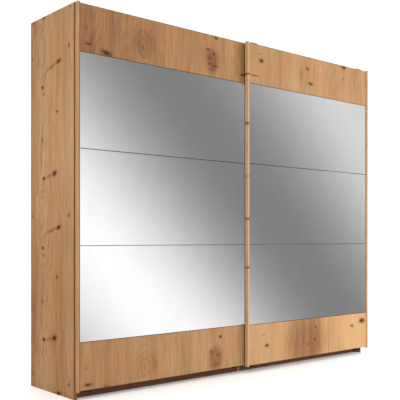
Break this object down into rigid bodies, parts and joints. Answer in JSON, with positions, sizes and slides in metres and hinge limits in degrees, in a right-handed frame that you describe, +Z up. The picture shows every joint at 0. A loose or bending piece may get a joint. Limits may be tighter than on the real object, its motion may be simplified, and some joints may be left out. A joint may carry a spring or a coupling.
{
  "type": "sliding door wardrobe",
  "caption": "Wide wardrobe with sliding doors hung in front of a board carcass; each door has mirror panes between two oak bands and slim oak edge strips.",
  "frame": {"origin": "middle of the footprint, on the floor", "axes": "+X along the front to the right, +Y from the front to the back wall, +Z up"},
  "size_m": [2.68, 0.61, 2.3],
  "materials": {
    "oak_decor_board": "knotty oak decor on chipboard, vertical grain, satin",
    "oak_decor_band": "knotty oak decor panel, satin",
    "oak_edge_profile": "oak decor wrapped handle strip, satin",
    "door_core_board": "thin board behind mirror and bands, oak decor on the back",
    "dark_plinth_board": "dark brown board, matt",
    "hardboard_back": "thin lacquered hardboard",
    "silvered_mirror": "polished silvered glass",
    "seam_aluminium": "thin satin strip between mirror panes",
    "anodised_aluminium": "extruded and anodised, satin",
    "zinc_plated_steel": "bent and zinc plated sheet",
    "black_steel": "bent sheet, black powder coat",
    "chromed_steel": "polished chrome plate",
    "nylon_roller": "moulded nylon",
    "stop_rubber": "moulded rubber"
  },
  "bodies": {
    "carcass": {"side_panel_left": "oak_decor_board", "side_panel_right": "oak_decor_board", "centre_partition": "oak_decor_board", "top_panel_left": "oak_decor_board", "top_panel_right": "oak_decor_board", "bottom_panel_left": "oak_decor_board", "bottom_panel_right": "oak_decor_board", "shelf_left": "oak_decor_board", "shelf_right": "oak_decor_board", "plinth_left": "dark_plinth_board", "plinth_right": "dark_plinth_board", "back_sheet_left_left": "hardboard_back", "back_sheet_left_right": "hardboard_back", "back_sheet_right_left": "hardboard_back", "back_sheet_right_right": "hardboard_back", "clothes_rail_left": "chromed_steel", "clothes_rail_right": "chromed_steel", "rail_socket_left_left": "chromed_steel", "rail_socket_left_right": "chromed_steel", "rail_socket_right_left": "chromed_steel", "rail_socket_right_right": "chromed_steel", "top_rail": "anodised_aluminium", "bottom_guide_rail": "anodised_aluminium", "end_stop_left_door_left": "stop_rubber", "end_stop_left_door_right": "stop_rubber", "end_stop_right_door_left": "stop_rubber", "end_stop_right_door_right": "stop_rubber"},
    "left_door": {"left_door_core": "door_core_board", "left_door_band_bottom": "oak_decor_band", "left_door_band_top": "oak_decor_band", "left_door_profile_left": "oak_edge_profile", "left_door_profile_right": "oak_edge_profile", "left_door_mirror_bottom": "silvered_mirror", "left_door_mirror_middle": "silvered_mirror", "left_door_mirror_top": "silvered_mirror", "left_door_seam_strip_lower": "seam_aluminium", "left_door_seam_strip_upper": "seam_aluminium", "left_door_hanger_left": "zinc_plated_steel", "left_door_hanger_right": "zinc_plated_steel", "left_door_guide_left": "black_steel", "left_door_guide_right": "black_steel"},
    "left_door_wheel_left": {"left_door_roller_left": "nylon_roller"},
    "left_door_wheel_right": {"left_door_roller_right": "nylon_roller"},
    "right_door": {"right_door_core": "door_core_board", "right_door_band_bottom": "oak_decor_band", "right_door_band_top": "oak_decor_band", "right_door_profile_left": "oak_edge_profile", "right_door_profile_right": "oak_edge_profile", "right_door_mirror_bottom": "silvered_mirror", "right_door_mirror_middle": "silvered_mirror", "right_door_mirror_top": "silvered_mirror", "right_door_seam_strip_lower": "seam_aluminium", "right_door_seam_strip_upper": "seam_aluminium", "right_door_hanger_left": "zinc_plated_steel", "right_door_hanger_right": "zinc_plated_steel", "right_door_guide_left": "black_steel", "right_door_guide_right": "black_steel"},
    "right_door_wheel_left": {"right_door_roller_left": "nylon_roller"},
    "right_door_wheel_right": {"right_door_roller_right": "nylon_roller"}
  },
  "joints": [
    {"name": "left_door_slide", "type": "slide", "parent": "carcass", "child": "left_door", "axis": [1, 0, 0], "range_m": [0, 1.32]},
    {"name": "right_door_slide", "type": "slide", "parent": "carcass", "child": "right_door", "axis": [-1, 0, 0], "range_m": [0, 1.32]},
    {"name": "left_door_roller_left_spin", "type": "hinge", "parent": "left_door", "child": "left_door_wheel_left", "pos_m": [-1.25, -0.2205, 2.2753], "axis": [0, 1, 0], "continuous": true},
    {"name": "left_door_roller_right_spin", "type": "hinge", "parent": "left_door", "child": "left_door_wheel_right", "pos_m": [-0.07, -0.2205, 2.2753], "axis": [0, 1, 0], "continuous": true},
    {"name": "right_door_roller_left_spin", "type": "hinge", "parent": "right_door", "child": "right_door_wheel_left", "pos_m": [0.07, -0.1955, 2.2753], "axis": [0, 1, 0], "continuous": true},
    {"name": "right_door_roller_right_spin", "type": "hinge", "parent": "right_door", "child": "right_door_wheel_right", "pos_m": [1.25, -0.1955, 2.2753], "axis": [0, 1, 0], "continuous": true}
  ],
  "couplings": [
    {"joint": "left_door_roller_left_spin", "follows": "left_door_slide", "rad_per_m": 75.188},
    {"joint": "left_door_roller_right_spin", "follows": "left_door_slide", "rad_per_m": 75.188},
    {"joint": "right_door_roller_left_spin", "follows": "right_door_slide", "rad_per_m": -75.188},
    {"joint": "right_door_roller_right_spin", "follows": "right_door_slide", "rad_per_m": -75.188}
  ]
}
